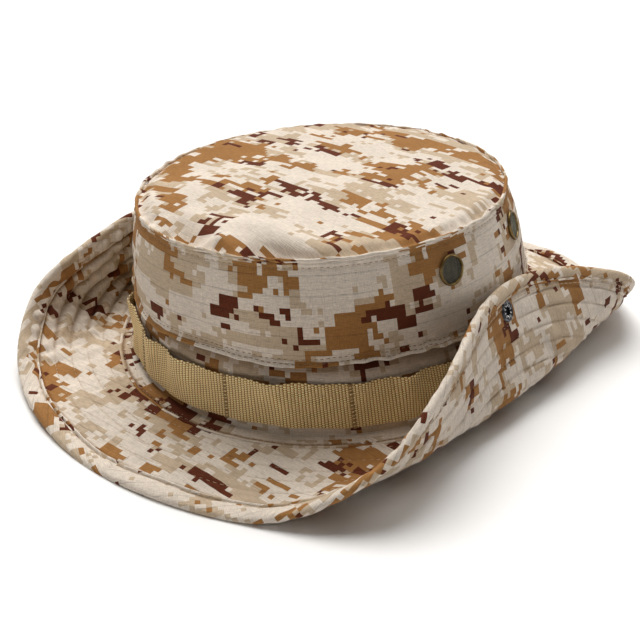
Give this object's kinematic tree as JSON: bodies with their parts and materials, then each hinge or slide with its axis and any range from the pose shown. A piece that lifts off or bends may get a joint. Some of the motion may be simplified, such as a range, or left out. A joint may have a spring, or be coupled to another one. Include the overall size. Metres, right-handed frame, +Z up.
{
  "type": "boonie hat",
  "caption": "Soft wide-brimmed cloth hat with an oval flat-topped crown, a webbing band, screened vents and side brims that fold up and snap to the crown.",
  "frame": {"origin": "on the table under the middle of the hat's outline", "axes": "+Z up from the table, the hat's front faces -Y, +X is the wearer's left side"},
  "size_m": [0.2116, 0.3008, 0.0872],
  "materials": {
    "desert_camo_cloth": "ripstop cotton weave printed with a desert pixel pattern, matte",
    "interlining": "stiff woven interlining, matte",
    "nylon_webbing": "ribbed khaki webbing, slight sheen",
    "sweatband_cloth": "plain woven tape, matte",
    "seam_tape": "bias tape, matte",
    "label_cloth": "blank satin tape",
    "antique_brass": "darkened, worn bright at the edges",
    "vent_mesh": "fine dark wire cloth",
    "snap_metal": "gunmetal with bright prongs"
  },
  "bodies": {
    "crown_and_brim": {"branch_loop_webbing": "nylon_webbing", "brim_edge_binding_back": "desert_camo_cloth", "brim_edge_binding_front": "desert_camo_cloth", "brim_interlining": "interlining", "brim_under_ply": "desert_camo_cloth", "brim_upper_ply": "desert_camo_cloth", "crown_lower_band": "desert_camo_cloth", "crown_side_panel": "desert_camo_cloth", "crown_top_panel": "desert_camo_cloth", "size_label_blank": "label_cloth", "snap_post_left": "snap_metal", "snap_post_right": "snap_metal", "snap_stud_left": "snap_metal", "snap_stud_right": "snap_metal", "sweatband": "sweatband_cloth", "top_seam_tape": "seam_tape", "vent_rim_left_back": "antique_brass", "vent_rim_left_front": "antique_brass", "vent_rim_right_back": "antique_brass", "vent_rim_right_front": "antique_brass", "vent_screen_left_back": "vent_mesh", "vent_screen_left_front": "vent_mesh", "vent_screen_right_back": "vent_mesh", "vent_screen_right_front": "vent_mesh", "vent_washer_left_back": "antique_brass", "vent_washer_left_front": "antique_brass", "vent_washer_right_back": "antique_brass", "vent_washer_right_front": "antique_brass"},
    "flap_right": {"brim_edge_binding_flap_right": "desert_camo_cloth", "brim_interlining_flap_right": "interlining", "brim_under_ply_flap_right": "desert_camo_cloth", "brim_upper_ply_flap_right": "desert_camo_cloth", "snap_ring_right": "snap_metal", "snap_socket_right": "snap_metal"},
    "flap_left": {"brim_edge_binding_flap_left": "desert_camo_cloth", "brim_interlining_flap_left": "interlining", "brim_under_ply_flap_left": "desert_camo_cloth", "brim_upper_ply_flap_left": "desert_camo_cloth", "snap_ring_left": "snap_metal", "snap_socket_left": "snap_metal"}
  },
  "joints": [
    {"name": "right_brim_fold", "type": "hinge", "parent": "crown_and_brim", "child": "flap_right", "pos_m": [0.09598, 0, 0.00752], "axis": [0, 1, 0], "range_deg": [0, 85]},
    {"name": "left_brim_fold", "type": "hinge", "parent": "crown_and_brim", "child": "flap_left", "pos_m": [-0.10258, 0, 0.00752], "axis": [0, -1, 0], "range_deg": [0, 100]}
  ]
}
